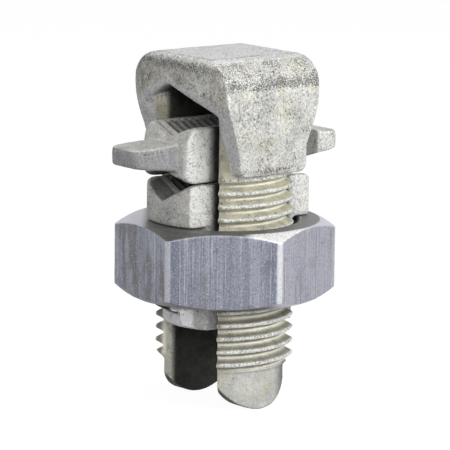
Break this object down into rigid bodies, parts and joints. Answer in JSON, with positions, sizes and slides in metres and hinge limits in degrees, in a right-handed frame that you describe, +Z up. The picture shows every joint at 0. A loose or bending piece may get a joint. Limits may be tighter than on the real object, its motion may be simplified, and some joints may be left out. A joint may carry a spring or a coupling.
{
  "type": "split-bolt connector with spacer bar",
  "caption": "Slotted bolt with a square head that clamps a run wire and a tap wire between its arch, a loose toothed spacer bar and a pressure bar carried on its hex nut.",
  "frame": {"origin": "on the bolt's axis, level with the tips of its legs", "axes": "+Z up the bolt's axis towards its head, +Y along the conductors, +X across the slot"},
  "size_m": [0.0352, 0.0412, 0.0565],
  "materials": {
    "cast_alloy": "tin-plated casting, matt and pitted",
    "drawn_alloy": "drawn hexagon bar with upright streaks",
    "bar_alloy": "tin-plated casting, stippled"
  },
  "bodies": {
    "bolt": {"split_bolt": "cast_alloy"},
    "bar": {"pressure_bar": "bar_alloy"},
    "nut": {"hex_nut": "drawn_alloy"},
    "spacer": {"spacer_bar": "bar_alloy"}
  },
  "joints": [
    {"name": "nut_turn", "type": "hinge", "parent": "bar", "child": "nut", "pos_m": [0, 0, 0.02356], "axis": [0, 0, 1], "range_deg": [-1800, 180]},
    {"name": "bar_slide", "type": "slide", "parent": "bolt", "child": "bar", "axis": [0, 0, 1], "range_m": [-0.0106, 0.0011]},
    {"name": "spacer_slide", "type": "slide", "parent": "bar", "child": "spacer", "axis": [0, 0, 1], "range_m": [0, 0.0016]}
  ],
  "couplings": [
    {"joint": "bar_slide", "follows": "nut_turn", "m_per_rad": 0.00033693}
  ]
}
